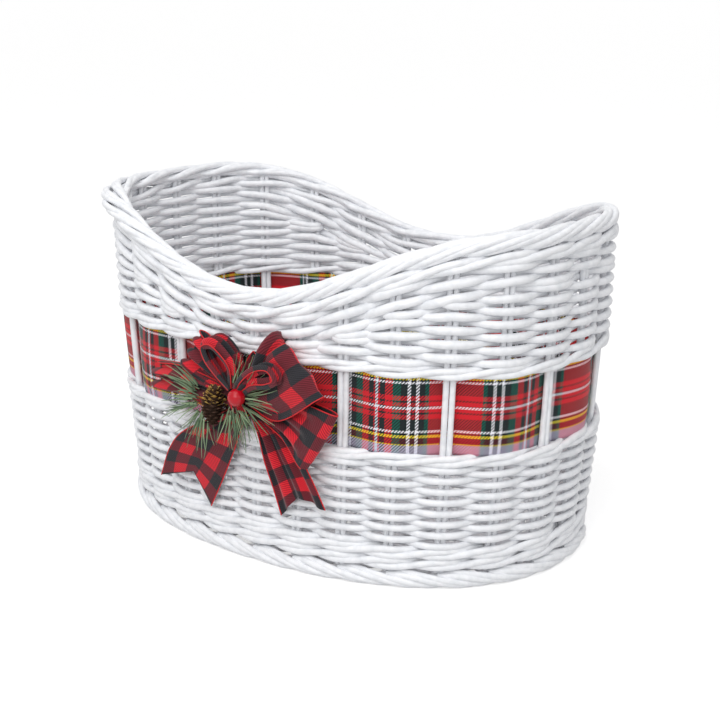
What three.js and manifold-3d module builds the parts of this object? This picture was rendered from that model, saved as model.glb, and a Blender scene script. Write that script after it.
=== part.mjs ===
// An oval basket of white painted willow with a dipped rim, a tartan ribbon woven through
// its wall and a tied bow on the front. Millimetres, +Z up, +X along the length, front at -Y.
import * as THREE from "three";
import { mergeVertices } from "three/addons/utils/BufferGeometryUtils.js";
import Module from "manifold-3d";

const wasm = await Module();
wasm.setup();

// Plan of the wall's middle line: half length, half width and squareness of the oval. The ends
// flare from the foot up, and the long sides draw in a little.
const footHalfLength = 182.7;
const middleFlare = 8.7;
const topFlare = 9.4;
const middleHalfLength = footHalfLength + middleFlare;
const topHalfLength = footHalfLength + topFlare;
const footHalfWidth = 126.5;
const middleDrawIn = 0.9;
const topDrawIn = 0.3;
const middleHalfWidth = footHalfWidth - middleDrawIn;
const topHalfWidth = footHalfWidth - topDrawIn;
const footSquareness = 2.19;
const middleSquareness = 2.48;
const topSquareness = 2.77;
const planHeight = 250;

// The rim dips in the middle of both long sides, and this many rows of weaving follow it round.
const upperRows = 3;
const rimRise = 51.2;
const rimSwing = 1.03;

// Stakes stand in pairs, a stake with its by-stake beside it, closer together along the front.
const stakeCount = 26;
const stakeRadius = 2.1;
const stakeLeadShare = 0.52;
const closestStake = 20.9;
const closeness = 0.091;

// Weaving rods.
const rowRodRadius = 1.85;
const rowPitch = 4.05;
const lowerRows = 15;
const bendRoom = 1.0;
const waleRodRadius = 1.85;
const waleStroke = 2.15;
const upsettWales = 2;
const rimWaleGap = 2;
const rimRowGap = 0.8;
const clearance = 0.3;
const rodSides = 4;

// Borders are ropes of laid-down rod ends.
const borderRadius = 7;
const borderStrands = 5;
const strandGroove = 1.5;
const borderSteps = 2;
const footBorderRadius = 7;
const footFlat = 0.8;
const footSpread = 1.6;

// The floor of the basket: sticks run in from the wall, and pairs of rods weave round over and under.
const baseMiddle = 5.6;
const baseRodRadius = 1.9;
const baseWave = 2.6;
const baseRounds = 13;
const basePairShare = 0.21;
const baseCoreLength = 120;

// The tartan ribbon, behind one pair and in front of the next.
const ribbonWidth = 55;
const ribbonThickness = 0.6;
const ribbonBulge = 4.6;
const ribbonHugShare = 0.16;
const seamStake = 7;

// The bow, tied round one pair in the middle of the front.
const bowStake = 19;
const bowHeight = 122;
const bowRibbonWidth = 50;
const bowRibbonThickness = 0.8;
const bowReach = 78;
const bowGather = 7.2;
const tailLength = 100;
const tailNotch = 20;
const tailPleat = 2;
const loopSteps = 8;
const tailSteps = 6;
const bowStandoff = 0.7;
const knotRadius = 5.5;
const knotLength = 16;
const layerDepth = 4.8;
const berryRadius = 6.4;
const coneLength = 27;
const coneRadius = 7.6;
const coneTiers = 6;
const needleRadius = 0.8;
const needleLength = 40;
const needleCount = 10;
const leftHub = [-25, -3, 11];
const rightHub = [-1, 5, 19];
const coneFrom = [-13.4, -18, 18];
const coneTo = [-13.1, 9, 18];
const berryPlace = [13, 10, 28];
const tieWireRadius = 0.4;

// Paint, ribbon and trim.
const whitePaint = new THREE.MeshStandardMaterial({ color: 0xf1f1ef, roughness: 0.55, metalness: 0 });
const finish = (color, roughness, metalness = 0) =>
  new THREE.MeshStandardMaterial({ color, roughness, metalness });

const basket = new THREE.Group();

function addPiece(name, geometry, material = whitePaint) {
  geometry.computeVertexNormals();
  const mesh = new THREE.Mesh(geometry, material);
  mesh.name = name;
  basket.add(mesh);
  return mesh;
}

// A value set at the foot, the middle and the top of the wall, curved between them.
function upTheWall(foot, middle, top, height) {
  const w = height / planHeight;
  return foot * (1 - w) * (1 - 2 * w) + middle * 4 * w * (1 - w) + top * w * (2 * w - 1);
}

// The wall's middle line at one height: a squared oval, run counter-clockwise from +X.
class WallLine extends THREE.Curve {
  constructor(height) {
    super();
    this.height = height;
    this.halfLength = upTheWall(footHalfLength, middleHalfLength, topHalfLength, height);
    this.halfWidth = upTheWall(footHalfWidth, middleHalfWidth, topHalfWidth, height);
    this.power = 2 / upTheWall(footSquareness, middleSquareness, topSquareness, height);
    this.arcLengthDivisions = 720;
  }

  getPoint(t, target = new THREE.Vector3()) {
    const c = Math.cos(t * 2 * Math.PI);
    const s = Math.sin(t * 2 * Math.PI);
    const x = this.halfLength * Math.sign(c) * Math.abs(c) ** this.power;
    const y = this.halfWidth * Math.sign(s) * Math.abs(s) ** this.power;
    return target.set(x, y, this.height);
  }
}

const wallLines = new Map();

function wallLine(height) {
  const key = Math.round(height * 10) / 10;
  if (!wallLines.has(key)) wallLines.set(key, new WallLine(key));
  return wallLines.get(key);
}

// The share of the way round at a place counted in stakes, and the place counted in stakes there.
function roundShare(stake) {
  const turn = (2 * Math.PI * (stake - closestStake)) / stakeCount;
  return (stake + stakeLeadShare) / stakeCount - (closeness / (2 * Math.PI)) * Math.sin(turn);
}

function stakeAtShare(share) {
  let stake = share * stakeCount;
  for (let i = 0; i < 8; i++) stake += (share - roundShare(stake)) * stakeCount;
  return stake;
}

// A point of the wall by its place counted in stakes, its height and its distance outwards.
function onWall(stake, height, outward = 0) {
  const line = wallLine(height);
  const u = THREE.MathUtils.euclideanModulo(roundShare(stake), 1);
  const point = line.getPointAt(u);
  const along = line.getTangentAt(u);
  const out = new THREE.Vector3(along.y, -along.x, 0).normalize();
  point.z = height;
  return { point: point.addScaledVector(out, outward), out };
}

// Heights stack up from the foot, each course on the one below.
const waleHalf = waleStroke + waleRodRadius;
const waleRise = 2 * waleHalf + clearance;
const footTop = 2 * footBorderRadius - footFlat;
const upsettZ = (n) => footTop + clearance + waleHalf + n * waleRise;
const lowerZ = footTop + upsettWales * waleRise + clearance + rowRodRadius;
const bandWaleZ = lowerZ + (lowerRows - 1) * rowPitch + rowRodRadius + clearance + waleHalf;
const bandBottom = bandWaleZ + waleHalf + clearance;
const bandTop = bandBottom + ribbonWidth;
const topWaleZ = bandTop + clearance + waleHalf;
const packingZ = topWaleZ + waleHalf + clearance + rowRodRadius;

// Depths under the rim's middle line, for courses that lean as it does.
const rimSlope = ((Math.PI / 2) * rimRise) / topHalfLength;
const lean = Math.hypot(1, rimSlope);
const rimWaleDrop = borderRadius + waleHalf + rimWaleGap;
const rowUnderWale = lean * (waleHalf + rimRowGap + rowRodRadius);
const rowDrop = (n) => rimWaleDrop + rowUnderWale + n * lean * rowPitch;
const rimDipHeight = topWaleZ + rowUnderWale + rowDrop(upperRows - 1);

function rimHeight(x) {
  const t = Math.min(1, Math.abs(x) / topHalfLength);
  return rimDipHeight + rimRise * (1 - Math.cos(Math.PI * t ** rimSwing)) / 2;
}

// Height of the rim's middle line above a place counted in stakes.
function rimAt(stake) {
  let height = rimDipHeight;
  for (let i = 0; i < 4; i++) height = rimHeight(onWall(stake, height).point.x);
  return height;
}

function fan(sides) {
  return Array.from({ length: sides - 2 }, (_, j) => [0, j + 1, j + 2]);
}

// A closed solid from rings of points: capped at its ends, or joined end to end.
function ringSolid(rings, joined = false, capFaces = fan(rings[0].length), shift = 0) {
  const sides = rings[0].length;
  const position = rings.flat().flatMap((p) => [p.x, p.y, p.z]);
  const index = [];
  const spans = joined ? rings.length : rings.length - 1;
  for (let i = 0; i < spans; i++) {
    const here = i * sides;
    const next = ((i + 1) % rings.length) * sides;
    const slip = i + 1 === rings.length ? shift : 0;
    for (let j = 0; j < sides; j++) {
      const k = (j + 1) % sides;
      const [far, farther] = [next + (j + slip) % sides, next + (k + slip) % sides];
      index.push(here + j, here + k, farther, here + j, farther, far);
    }
  }
  const last = (rings.length - 1) * sides;
  for (const [a, b, c] of joined ? [] : capFaces) {
    index.push(a, c, b, last + a, last + b, last + c);
  }
  const geometry = new THREE.BufferGeometry();
  geometry.setAttribute("position", new THREE.Float32BufferAttribute(position, 3));
  geometry.setIndex(index);
  return geometry;
}

// A rod along a path of { point, out }, its section set by a function of the step.
function sweep(path, section, joined = false, shift = 0) {
  const rings = path.map(({ point, out }, i) => {
    const before = joined ? path.at(i - 1) : path[Math.max(0, i - 1)];
    const after = joined ? path[(i + 1) % path.length] : path[Math.min(path.length - 1, i + 1)];
    const along = after.point.clone().sub(before.point).normalize();
    const side = new THREE.Vector3().crossVectors(along, out).normalize();
    const face = new THREE.Vector3().crossVectors(side, along);
    return section(i).map(([a, b]) =>
      point.clone().addScaledVector(face, a).addScaledVector(side, b));
  });
  const outline = section(0).map(([a, b]) => new THREE.Vector2(a, b));
  return ringSolid(rings, joined, THREE.ShapeUtils.triangulateShape(outline, []), shift);
}

function circle(radius, sides, turn = 0) {
  return Array.from({ length: sides }, (_, j) => {
    const angle = turn + (j * 2 * Math.PI) / sides;
    return [radius * Math.cos(angle), radius * Math.sin(angle)];
  });
}

function toSolid(geometry) {
  const bare = new THREE.BufferGeometry();
  bare.setAttribute("position", geometry.getAttribute("position"));
  bare.setIndex(geometry.index);
  const merged = mergeVertices(bare, 1e-4);
  return new wasm.Manifold(new wasm.Mesh({
    numProp: 3,
    vertProperties: merged.attributes.position.array,
    triVerts: new Uint32Array(merged.index.array),
  }));
}

function toGeometry(solid) {
  const mesh = solid.getMesh();
  const geometry = new THREE.BufferGeometry();
  const position = [];
  for (let i = 0; i < mesh.vertProperties.length; i += mesh.numProp) {
    position.push(...mesh.vertProperties.subarray(i, i + 3));
  }
  geometry.setAttribute("position", new THREE.Float32BufferAttribute(position, 3));
  geometry.setIndex([...mesh.triVerts]);
  return geometry;
}

// How far a rod stands off the wall's middle line as it passes a pair of stakes.
const rowReach = stakeRadius + rowRodRadius + bendRoom;
const waleReach = stakeRadius + waleRodRadius + bendRoom;
const wallFace = waleReach + waleRodRadius;

// Two rods side by side, from the foot border up to the rim border.
function stakePair(k) {
  const foot = footTop + clearance;
  const top = rimAt(k) - borderRadius * lean - 2 * stakeRadius * rimSlope;
  const path = [foot, (bandBottom + bandTop) / 2, top].map((height) => onWall(k, height));
  const flat = stakeRadius * Math.cos(Math.PI / 6);
  const half = stakeRadius / 2;
  const rod = [[stakeRadius, flat], [half, 2 * flat], [-half, 2 * flat], [-stakeRadius, flat]];
  const partner = rod.map(([a, b]) => [-a, -b]);
  return sweep(path, () => [...rod, [-half, 0], ...partner, [half, 0]]);
}

for (let k = 0; k < stakeCount; k++) {
  addPiece(`stake_pair_${String(k + 1).padStart(2, "0")}`, stakePair(k));
}

// Plain rows: one rod winds up the wall, in front of one pair and behind the next,
// and its partner follows one row higher on the opposite sides.
function chasingRod(heightAt, firstRow, rows) {
  const path = [];
  for (let row = firstRow; row < rows; row += 2) {
    for (let i = 0; i < stakeCount; i++) {
      const stake = seamStake + i;
      const swing = (stake + firstRow) % 2 ? rowReach : -rowReach;
      path.push(onWall(stake, heightAt(stake, row), swing));
    }
  }
  return sweep(path, () => circle(rowRodRadius, rodSides));
}

// A three-rod wale: each rod passes in front of two pairs and behind the third. The rods run on
// into each other, so three rounds close on themselves.
const waleCourse = [
  [0, -waleReach, 0],
  [0.5, 0, -waleStroke],
  [1, waleReach, -waleStroke],
  [2, waleReach, waleStroke],
  [2.5, 0, waleStroke],
];

function waleRod(heightAt) {
  const path = [];
  for (let repeat = 0; repeat < stakeCount; repeat++) {
    for (const [step, outward, rise] of waleCourse) {
      const stake = 3 * repeat + step;
      path.push(onWall(stake, heightAt(stake) + rise, outward));
    }
  }
  return sweep(path, () => circle(waleRodRadius, rodSides), true);
}

for (let n = 0; n < upsettWales; n++) {
  addPiece(`upsett_wale_${n + 1}`, waleRod(() => upsettZ(n)));
}
const lowerRow = (stake, row) => lowerZ + row * rowPitch;
addPiece("lower_weaver_a", chasingRod(lowerRow, 0, lowerRows));
addPiece("lower_weaver_b", chasingRod(lowerRow, 1, lowerRows));
addPiece("band_wale_below", waleRod(() => bandWaleZ));
addPiece("band_wale_above", waleRod(() => topWaleZ));
addPiece("rim_wale", waleRod((stake) => rimAt(stake) - rimWaleDrop));

// The last rows lean with the rim, over packing that fills the raised ends.
const upperRow = (stake, row) => rimAt(stake) - rowDrop(upperRows - 1 - row);
addPiece("upper_weaver_a", chasingRod(upperRow, 0, upperRows));
addPiece("upper_weaver_b", chasingRod(upperRow, 1, upperRows));

// How high packing can come at a stake and still turn back there under the leaning rows.
const turnReach = (2 * stakeRadius + rowRodRadius + 2 * clearance) / wallLine(packingZ).getLength();
const turnStake = (stake, share) => stakeAtShare(roundShare(stake) + share * turnReach);
const ceiling = (stake) =>
  Math.min(rimAt(turnStake(stake, -1)), rimAt(turnStake(stake, 1))) - rowDrop(upperRows);

// The stakes round one end that a row at this height can reach.
function endSpan(endStake, height) {
  let low = Math.floor(endStake);
  let high = Math.ceil(endStake);
  while (ceiling(low - 1) > height) low--;
  while (ceiling(high + 1) > height) high++;
  return [low, high];
}

// Packing: one rod goes back and forth round an end, turning round the last stakes it reaches.
const turnCourse = [[0.3, 0.72, 0.86], [0.5, 1, 0], [0.7, 0.72, -0.86]];

function packingRod(endStake) {
  const path = [];
  const zOf = (row) => packingZ + row * rowPitch;
  const top = ceiling(endStake);
  let [stake] = endSpan(endStake, zOf(0));
  let heading = 1;
  for (let row = 0; zOf(row) < top; row++) {
    const more = zOf(row + 1) < top;
    const last = more ? endSpan(endStake, zOf(row + 1))[heading > 0 ? 1 : 0] : Math.round(endStake);
    const sideOf = (k) => ((k + row) % 2 ? rowReach : -rowReach);
    for (; stake !== last + heading; stake += heading) {
      path.push(onWall(stake, zOf(row), sideOf(stake)));
    }
    stake = last;
    for (const [rise, along, across] of more ? turnCourse : []) {
      const place = turnStake(stake, heading * along);
      path.push(onWall(place, zOf(row + rise), across * sideOf(stake)));
    }
    heading = -heading;
  }
  return sweep(path, () => circle(rowRodRadius, rodSides));
}

addPiece("packing_right", packingRod(stakeAtShare(0)));
addPiece("packing_left", packingRod(stakeAtShare(0.5)));

// A border: rod ends laid over each other like a rope, each a little further round the roll.
// With hand 1 a strand going to the right along the front sinks outwards, with -1 it climbs in.
function borderRope(pointAt, radius, hand) {
  const path = [];
  const steps = stakeCount * borderSteps;
  for (let i = 0; i < steps; i++) path.push(pointAt(i / borderSteps));
  const lobeTurn = (2 * Math.PI) / borderStrands;
  const sides = 2 * borderStrands;
  const section = (i) => Array.from({ length: sides }, (_, j) => {
    const angle = (j * lobeTurn) / 2 + (hand * i * lobeTurn) / borderSteps;
    const reach = j % 2 ? radius - strandGroove : radius;
    return [reach * Math.cos(angle), reach * Math.sin(angle)];
  });
  const shift = THREE.MathUtils.euclideanModulo(hand * 2 * stakeCount, sides);
  return sweep(path, section, true, shift);
}

addPiece("rim_border", borderRope((stake) => onWall(stake, rimAt(stake)), borderRadius, -1));
const footRope = borderRope(
  (stake) => onWall(stake, footBorderRadius - footFlat, footSpread), footBorderRadius, 1);
addPiece("foot_border", toGeometry(toSolid(footRope).trimByPlane([0, 0, 1], 0)));

// The floor: each round, a pair of rods side by side, passes over one stick and under the next.
function wovenFloor() {
  const inset = footBorderRadius - footSpread + clearance;
  const edge = Array.from({ length: stakeCount }, (_, k) => onWall(k, baseMiddle, -inset).point);
  const halfCore = baseCoreLength / 2;
  const ringAt = (place, heightAt) => edge.map((point, k) => {
    const core = new THREE.Vector3(halfCore * point.x / footHalfLength, 0, 0);
    return core.lerp(point, place / (baseRounds + 0.5)).setZ(heightAt(k));
  });
  const top = [];
  const bottom = [];
  for (let round = 0; round < baseRounds; round++) {
    const middleAt = (k) => baseMiddle + ((round + k) % 2 ? -baseWave : baseWave);
    for (const side of [-1, 1]) {
      const place = round + 0.5 + side * basePairShare;
      top.push(ringAt(place, (k) => middleAt(k) + baseRodRadius));
      bottom.push(ringAt(place, (k) => middleAt(k) - baseRodRadius));
    }
  }
  const rim = ringAt(baseRounds + 0.5, () => baseMiddle);
  return ringSolid([...bottom, rim, ...top.toReversed()]);
}
addPiece("base", wovenFloor());

// The tartan ribbon: flat behind the pairs that show, bulging over those between.
function tartanBand() {
  const behind = stakeRadius + 2 * tieWireRadius + 2 * clearance + ribbonThickness / 2;
  const path = [];
  for (let k = 0; k < stakeCount; k += 2) {
    const course = [[0, ribbonBulge], [0.5, ribbonBulge / 2], [1 - ribbonHugShare, -behind]];
    course.push([1 + ribbonHugShare, -behind], [1.5, ribbonBulge / 2]);
    for (const [step, outward] of course) {
      const place = onWall(k + step, (bandBottom + bandTop) / 2, outward);
      const rise = onWall(k + step, bandTop).point.sub(onWall(k + step, bandBottom).point);
      path.push({ ...place, lean: rise.dot(place.out) / ribbonWidth });
    }
  }
  const a = ribbonThickness / 2;
  const b = ribbonWidth / 2 - clearance;
  return sweep(path, (i) => {
    const lean = path[i].lean * b;
    return [[a - lean, b], [-a - lean, b], [-a + lean, -b], [a + lean, -b]];
  }, true);
}
addPiece("tartan_ribbon", tartanBand(), finish(0xa3222c, 0.85));

// The bow hangs in its own frame: u to the right along the wall, v up it, w out of it.
const knotFoot = onWall(bowStake, bowHeight, wallFace + bowStandoff);
const bowRight = new THREE.Vector3(-knotFoot.out.y, knotFoot.out.x, 0);
const bowUp = new THREE.Vector3(0, 0, 1);

function inBow(u, v, w) {
  const wall = onWall(bowStake, bowHeight + v, wallFace + bowStandoff).point;
  const flare = wall.sub(knotFoot.point).dot(knotFoot.out);
  return knotFoot.point.clone()
    .addScaledVector(bowRight, u).addScaledVector(bowUp, v).addScaledVector(knotFoot.out, w + flare);
}

// A sheet of cloth with a thickness from a grid of points on its middle.
function clothSolid(grid, thickness) {
  const rows = grid.length;
  const columns = grid[0].length;
  const at = (i, j) => grid[THREE.MathUtils.clamp(i, 0, rows - 1)][THREE.MathUtils.clamp(j, 0, columns - 1)];
  const faces = [1, -1].map((side) => grid.map((row, i) => row.map((p, j) => {
    const down = at(i + 1, j).clone().sub(at(i - 1, j));
    const across = at(i, j + 1).clone().sub(at(i, j - 1));
    const normal = across.cross(down).normalize();
    return p.clone().addScaledVector(normal, side * thickness / 2);
  })));
  const rings = grid.map((_, i) => [...faces[0][i], ...faces[1][i].toReversed()]);
  const caps = [];
  for (let j = 0; j < columns - 1; j++) {
    const back = 2 * columns - 1 - j;
    caps.push([j, j + 1, back - 1], [j, back - 1, back]);
  }
  return ringSolid(rings, false, caps);
}

// A loop of the bow leaves the knot, turns back at its end and comes in again underneath.
function bowLoop({ angle, reach, width, layer, puff, tilt = 0 }) {
  const low = layer * layerDepth;
  const high = low + layerDepth - 2 * bowRibbonThickness;
  const root = knotRadius + clearance;
  const course = [
    [root, high], [0.45 * reach, high + 0.1 * puff], [0.85 * reach, high + puff],
    [reach, low + (layerDepth + puff) / 2], [0.85 * reach, low + bowRibbonThickness],
    [0.45 * reach, low], [root, low],
  ];
  const curve = new THREE.CatmullRomCurve3(
    course.map(([d, w]) => new THREE.Vector3(d, w, 0)), false, "centripetal");
  const outward = new THREE.Vector2(Math.cos(angle), Math.sin(angle));
  const grid = curve.getPoints(loopSteps).map((p) => {
    const spread = Math.min(1, (p.x - root) / (0.6 * reach));
    const half = THREE.MathUtils.lerp(bowGather, width, spread) / 2;
    return [-1, 0, 1].map((side) => {
      const lift = side * half * Math.sin(tilt) * spread;
      const across = side * half * Math.cos(tilt * spread);
      const u = outward.x * p.x - outward.y * across;
      const v = outward.y * p.x + outward.x * across;
      return inBow(u, v, p.y + lift);
    });
  });
  return clothSolid(grid, bowRibbonThickness);
}

// A tail hangs from the knot, gathered at the top and cut to a swallow's tail below.
function bowTail({ angle, length, width, layer, notch, pleat }) {
  const root = knotRadius + clearance;
  const away = new THREE.Vector2(Math.cos(angle), Math.sin(angle));
  const columns = 5;
  const grid = [];
  for (let i = 0; i <= tailSteps; i++) {
    const share = i / tailSteps;
    const row = [];
    for (let j = 0; j < columns; j++) {
      const side = (2 * j) / (columns - 1) - 1;
      const cut = notch * (1 - Math.abs(side)) * share ** 3;
      const along = root + (length - root) * share - cut;
      const half = THREE.MathUtils.lerp(bowGather, width, Math.min(1, 2 * share)) / 2;
      const fold = (j % 2 ? 1 : 0) * pleat * Math.sin(Math.PI * Math.min(1, 0.2 + share * 0.8));
      const u = away.x * along - away.y * side * half;
      const v = away.y * along + away.x * side * half;
      row.push(inBow(u, v, layer * layerDepth + fold));
    }
    grid.push(row);
  }
  return clothSolid(grid, bowRibbonThickness);
}

const degrees = THREE.MathUtils.degToRad;
const checkCloth = () => finish(0x8e1f26, 0.85);
const loops = {
  bow_loop_left: { angle: degrees(172), reach: 1, width: 0.4, layer: 0, puff: 1 },
  bow_loop_top_right: { angle: degrees(60), reach: 0.74, width: 0.68, layer: 0, puff: 9 },
  bow_loop_lower_right: { angle: degrees(-28), reach: 0.97, width: 0.86, layer: 0, puff: 0 },
  bow_loop_back_left: { angle: degrees(139), reach: 0.74, width: 0.72, layer: 1, puff: 6 },
  bow_loop_right: { angle: degrees(12), reach: 0.97, width: 0.76, layer: 1, puff: 6 },
  bow_loop_top_left: { angle: degrees(116), reach: 0.54, width: 0.48, layer: 2.4, puff: 7 },
  bow_loop_small_right: { angle: degrees(32), reach: 0.64, width: 0.28, layer: 2.4, puff: 3 },
};
for (const [name, { reach, width, ...loop }] of Object.entries(loops)) {
  const size = { reach: reach * bowReach, width: width * bowRibbonWidth };
  addPiece(name, bowLoop({ ...loop, ...size }), checkCloth());
}
addPiece("bow_tail_left", bowTail({
  angle: degrees(-123), length: tailLength, width: bowRibbonWidth,
  layer: 0.1, notch: tailNotch, pleat: tailPleat,
}), checkCloth());
addPiece("bow_tail_right", bowTail({
  angle: degrees(-56), length: 0.96 * tailLength, width: 0.8 * bowRibbonWidth,
  layer: 1.1, notch: 0.7 * tailNotch, pleat: 1.2 * tailPleat,
}), checkCloth());

// Turns a solid made up the Y axis to point from one place to another.
function aim(geometry, from, to) {
  const turn = new THREE.Quaternion().setFromUnitVectors(
    new THREE.Vector3(0, 1, 0), to.clone().sub(from).normalize());
  geometry.deleteAttribute("normal");
  geometry.deleteAttribute("uv");
  return geometry.applyQuaternion(turn).translate(from.x, from.y, from.z);
}

const lathe = (profile, sides) =>
  new THREE.LatheGeometry(profile.map(([x, y]) => new THREE.Vector2(x, y)), sides);

// The knot: the ribbon drawn round the middle of the loops.
const knotProfile = [
  [0, 0], [knotRadius * 0.8, 0], [knotRadius, knotLength * 0.15],
  [knotRadius, knotLength * 0.85], [knotRadius * 0.8, knotLength], [0, knotLength],
];
addPiece("bow_knot", aim(lathe(knotProfile, 8), inBow(0, 0, 0), inBow(0, 0, 1)), checkCloth());

// The wire that ties the bow on: through the wall, round the pair and back.
function tieWire() {
  const reach = 2 * stakeRadius + tieWireRadius + clearance;
  const back = stakeRadius + clearance + tieWireRadius;
  const front = wallFace + bowStandoff - clearance - tieWireRadius;
  const course = [[-1, front], [-1, -back], [1, -back], [1, front]];
  const height = bowHeight;
  const path = course.map(([side, outward]) => {
    const place = onWall(bowStake, height, outward);
    place.point.addScaledVector(bowRight, side * reach);
    return place;
  });
  const turned = path.map(({ point }) => ({ point, out: bowUp }));
  return sweep(turned, () => circle(tieWireRadius, 6), true);
}
addPiece("tie_wire", tieWire(), finish(0x7a8a6a, 0.5, 0.6));

// A sprig: needles of uneven length fanned round the end of a stem that is wired to the knot.
function sprig(hub, stemFoot, first, last, reach, rise) {
  const stem = new THREE.CylinderGeometry(needleRadius, needleRadius, hub.distanceTo(stemFoot), 5);
  stem.translate(0, hub.distanceTo(stemFoot) / 2, 0);
  const bud = aim(new THREE.IcosahedronGeometry(2 * needleRadius), hub, inBow(0, 0, 0));
  let solid = toSolid(aim(stem, stemFoot, hub)).add(toSolid(bud));
  for (let i = 0; i < needleCount; i++) {
    const angle = THREE.MathUtils.lerp(first, last, i / (needleCount - 1));
    const length = reach * (0.78 + 0.22 * Math.cos(i * 2.4));
    const lift = i % 2 ? 1.5 * rise : 0.5 * rise;
    const tip = hub.clone()
      .addScaledVector(bowRight, length * Math.cos(angle))
      .addScaledVector(bowUp, length * Math.sin(angle))
      .addScaledVector(knotFoot.out, length * lift);
    const needle = new THREE.ConeGeometry(needleRadius, hub.distanceTo(tip), 3);
    needle.translate(0, hub.distanceTo(tip) / 2, 0);
    solid = solid.add(toSolid(aim(needle, hub, tip)));
  }
  return toGeometry(solid);
}
addPiece("sprig_left", sprig(
  inBow(...leftHub), inBow(-knotRadius - clearance, -1.5, 7.6),
  degrees(150), degrees(262), needleLength, 0.24), finish(0x4f6f4c, 0.8));
addPiece("sprig_right", sprig(
  inBow(...rightHub), inBow(-1, 3, knotLength + 0.5),
  degrees(-110), degrees(56), 0.95 * needleLength, 0.03), finish(0x4f6f4c, 0.8));

// A cone of overlapping tiers of scales, and a berry on its wire.
function pineCone() {
  const profile = [[0, 0]];
  for (let i = 0; i < coneTiers; i++) {
    const share = (i + 0.5) / coneTiers;
    const radius = coneRadius * Math.sin(Math.PI * (0.12 + 0.82 * share)) ** 0.7;
    profile.push([radius * 0.72, coneLength * (share - 0.4 / coneTiers)]);
    profile.push([radius, coneLength * (share + 0.3 / coneTiers)]);
  }
  profile.push([0, coneLength]);
  return lathe(profile, 8);
}
addPiece("pine_cone", aim(pineCone(), inBow(...coneFrom), inBow(...coneTo)),
  finish(0x4a3324, 0.85));

function berry(foot, centre) {
  const stem = foot.distanceTo(centre) - berryRadius;
  const profile = [[0, 0], [tieWireRadius, 0], [tieWireRadius, stem]];
  for (let i = 1; i < 6; i++) {
    const angle = (Math.PI * i) / 6;
    profile.push([berryRadius * Math.sin(angle), stem + berryRadius * (1 - Math.cos(angle))]);
  }
  profile.push([0, stem + 2 * berryRadius]);
  return aim(lathe(profile, 10), foot, centre);
}
addPiece("berry", berry(inBow(4, 2, knotLength + clearance), inBow(...berryPlace)), finish(0xb01222, 0.15));

// The origin is on the table, under the middle of the whole object.
const extent = new THREE.Box3().setFromObject(basket);
const middle = extent.getCenter(new THREE.Vector3());
basket.position.set(-middle.x, -middle.y, -extent.min.z);
const part = new THREE.Group();
part.add(basket);

export default part;
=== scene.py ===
# An oval basket of white painted willow, a tartan ribbon woven through its wall, a tied bow on the front.
# Settings are in millimetres; meshes are made in metres. +Z is up, the front is at -Y.
from math import copysign, cos, pi, radians, sin

import bmesh
import bpy
import numpy as np
from mathutils import Matrix, Vector


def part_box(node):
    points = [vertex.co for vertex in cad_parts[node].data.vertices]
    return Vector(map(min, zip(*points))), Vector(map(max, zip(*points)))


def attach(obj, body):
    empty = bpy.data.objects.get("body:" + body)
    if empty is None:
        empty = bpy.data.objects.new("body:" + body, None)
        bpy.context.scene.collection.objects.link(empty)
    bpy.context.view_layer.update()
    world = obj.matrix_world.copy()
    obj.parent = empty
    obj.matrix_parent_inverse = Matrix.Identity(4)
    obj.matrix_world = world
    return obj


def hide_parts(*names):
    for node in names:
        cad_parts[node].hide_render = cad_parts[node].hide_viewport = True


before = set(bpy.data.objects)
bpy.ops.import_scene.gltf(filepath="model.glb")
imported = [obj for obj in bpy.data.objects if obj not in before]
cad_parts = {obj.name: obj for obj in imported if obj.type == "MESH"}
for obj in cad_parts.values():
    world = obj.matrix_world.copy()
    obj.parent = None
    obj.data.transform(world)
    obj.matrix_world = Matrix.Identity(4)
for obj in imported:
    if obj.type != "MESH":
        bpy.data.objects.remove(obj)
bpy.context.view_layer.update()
mm = 0.001
luck = np.random.default_rng(26)

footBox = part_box("foot_border")
middleX = (footBox[0].x + footBox[1].x) / 2 / mm
middleY = (footBox[0].y + footBox[1].y) / 2 / mm

# Half length, half width and squareness of the oval at the foot, half way up and at the top.
wall = {
    "foot": (182.7, 126.5, 2.19), "middle": (191.4, 125.6, 2.48), "top": (192.1, 126.2, 2.77),
    "planHeight": 250, "rimDip": 194.59, "rimRise": 51.2, "rimSwing": 1.03, "stakes": 26,
    "stakeLead": 0.52, "closestStake": 20.9, "closeness": 0.091, "round": 1050, "stakeRadius": 2.1,
}


# The camera and the light.
view = {
    "place": (637.37, -850.66, 419.22), "azimuth": 36.591, "elevation": 15.724, "roll": 0.383,
    "lens": 70.71, "sensor": 36,
}
studio = {
    "worldStrength": 0.58,
    "paper": 0.64,
    "paperGlow": 0.6,
    "paperHalf": 60.0,
    "aim": (0, 0, 0.1),
    # place, power, size
    "lamps": {
        "over": ((0.05, -0.5, 1.2), 3.4, 0.8),
        "front": ((0.55, -1.6, 1.3), 14, 1.2),
        "fill": ((1.9, -0.7, 1.0), 2, 0.9),
    },
}


def newObject(name, data):
    made = bpy.data.objects.new(name, data)
    bpy.context.scene.collection.objects.link(made)
    return made


def makeCamera():
    azimuth, elevation, roll = (radians(view[k]) for k in ("azimuth", "elevation", "roll"))
    turn = (Matrix.Rotation(azimuth, 4, "Z") @ Matrix.Rotation(pi / 2 - elevation, 4, "X")
            @ Matrix.Rotation(roll, 4, "Z"))
    camera = newObject("camera", bpy.data.cameras.new("camera"))
    camera.data.lens = view["lens"]
    camera.data.sensor_width = view["sensor"]
    place = (Vector(view["place"]) + Vector((middleX, middleY, 0))) * mm
    camera.matrix_world = Matrix.Translation(place) @ turn
    bpy.context.scene.camera = camera


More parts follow.
